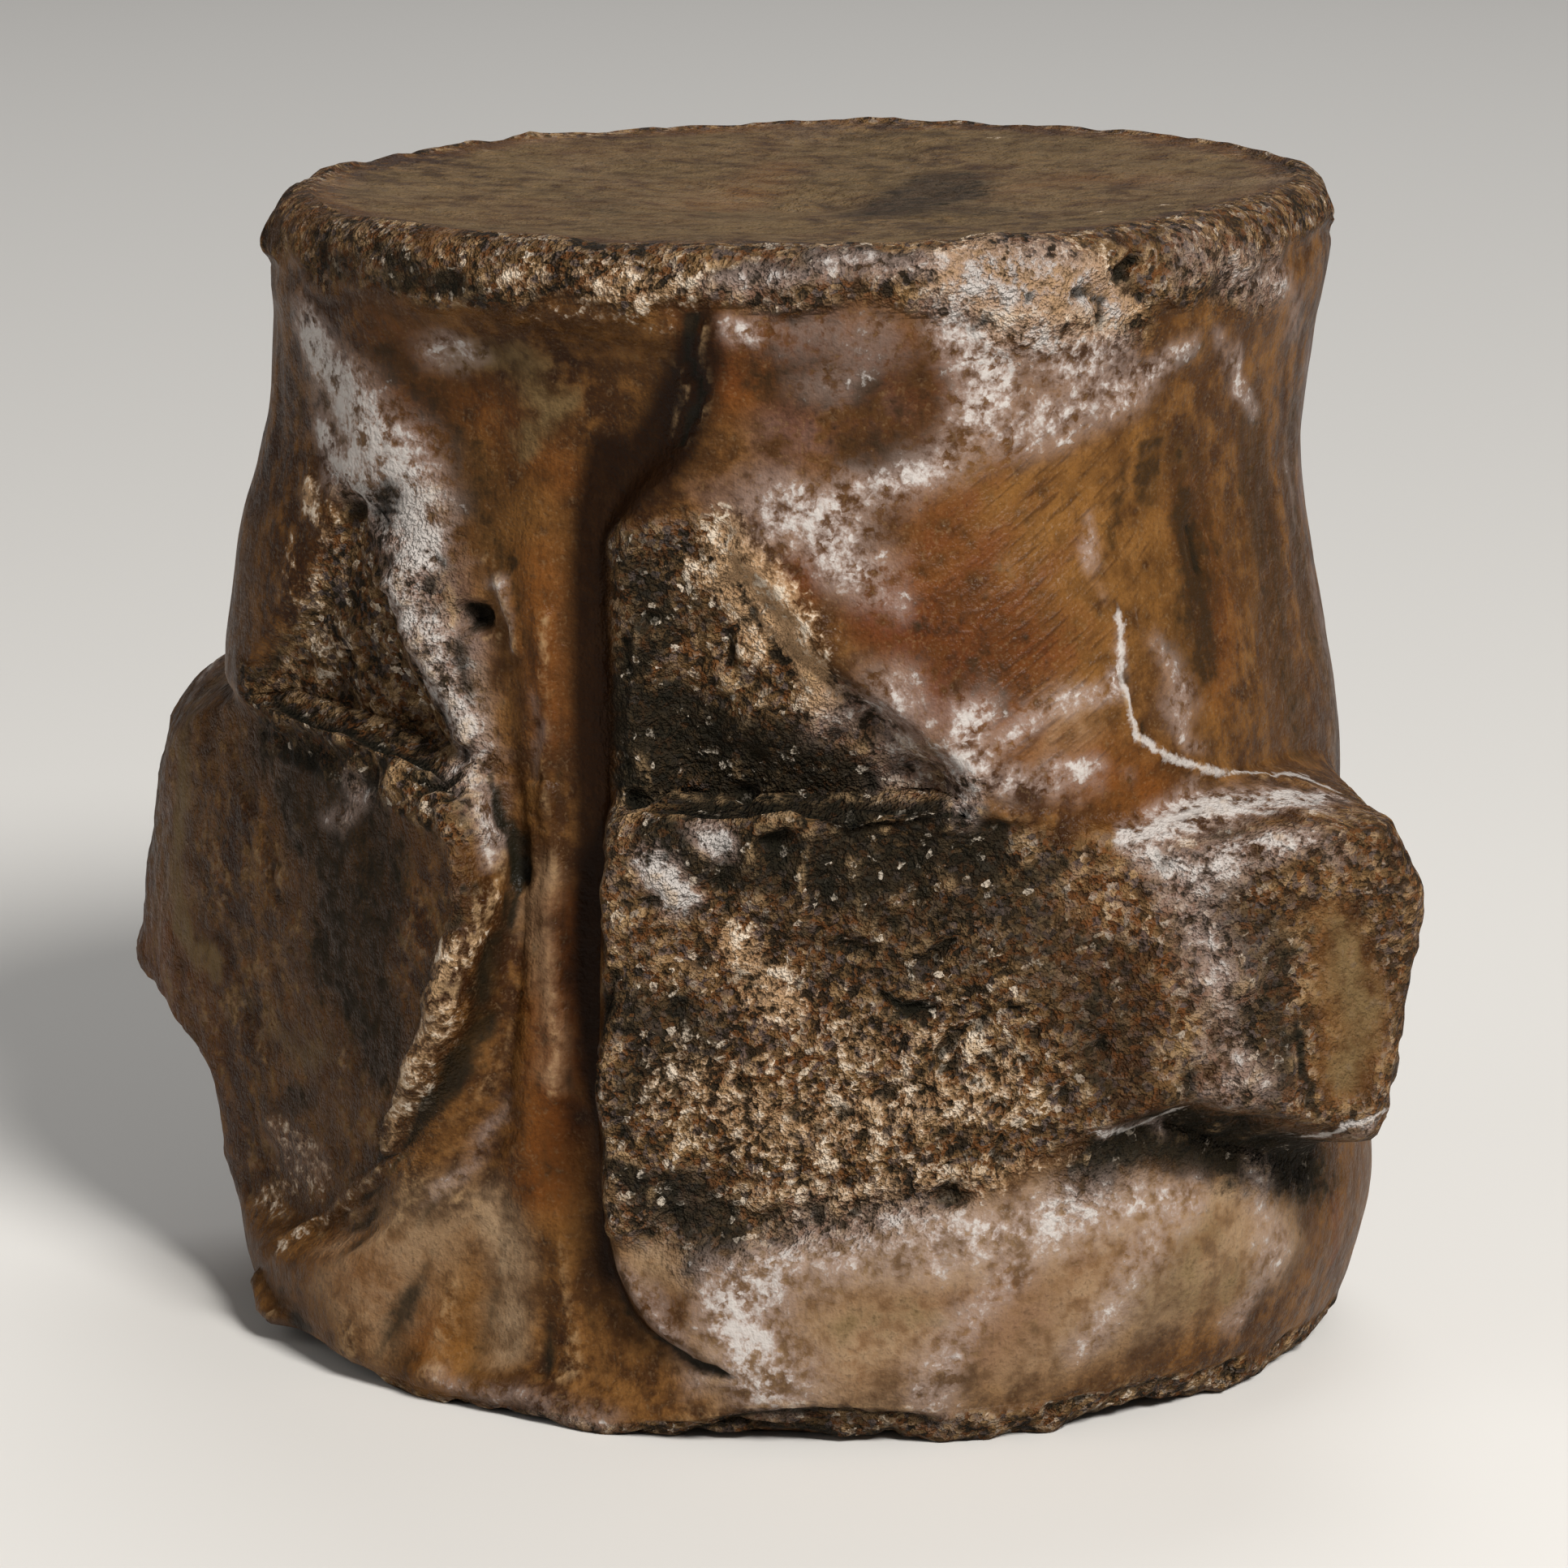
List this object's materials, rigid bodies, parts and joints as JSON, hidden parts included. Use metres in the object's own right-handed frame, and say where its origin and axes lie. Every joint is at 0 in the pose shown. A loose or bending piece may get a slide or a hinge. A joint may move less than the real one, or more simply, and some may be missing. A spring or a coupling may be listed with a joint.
{
  "type": "fossil champsosaurus vertebra",
  "caption": "Spool-shaped fossil vertebral centrum with worn end faces, an hourglass neural canal floor, arch facets and rib processes, standing on one end.",
  "frame": {"origin": "under the middle of the bounding box, on the plane that the lower end face stands on", "axes": "+Z along the centrum's length, -Y towards the dorsal side with the neural canal, X sideways"},
  "size_m": [0.0364, 0.026, 0.0284],
  "materials": {
    "bone": "mineralised bone: satin brown cortex, rough granular broken faces"
  },
  "bodies": {
    "root": {"centrum": "bone"}
  },
  "joints": []
}
